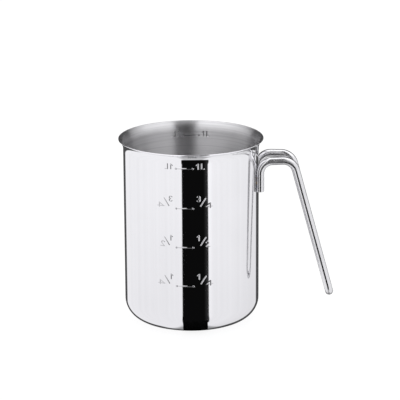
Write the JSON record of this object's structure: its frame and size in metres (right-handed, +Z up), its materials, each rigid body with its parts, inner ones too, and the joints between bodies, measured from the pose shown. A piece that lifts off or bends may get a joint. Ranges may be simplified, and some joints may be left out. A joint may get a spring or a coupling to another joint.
{
  "type": "candle melting pot",
  "caption": "Graduated steel melting pot: straight round wall, flared pouring rim, rounded lower corner and a welded hairpin rod handle.",
  "frame": {"origin": "centre of the base underside, on the pot axis", "axes": "+Z up along the pot axis out of the mouth, +X towards the handle, front volume scale on the -Y side"},
  "size_m": [0.1628, 0.109, 0.1404],
  "materials": {
    "cup_steel": "stainless sheet, mirror polished outside, brushed inside",
    "rod_steel": "stainless round rod, polished",
    "weld_steel": "resistance weld, cleaned"
  },
  "bodies": {
    "root": {"cup": "cup_steel", "handle": "rod_steel", "handle_welds": "weld_steel"}
  },
  "joints": []
}
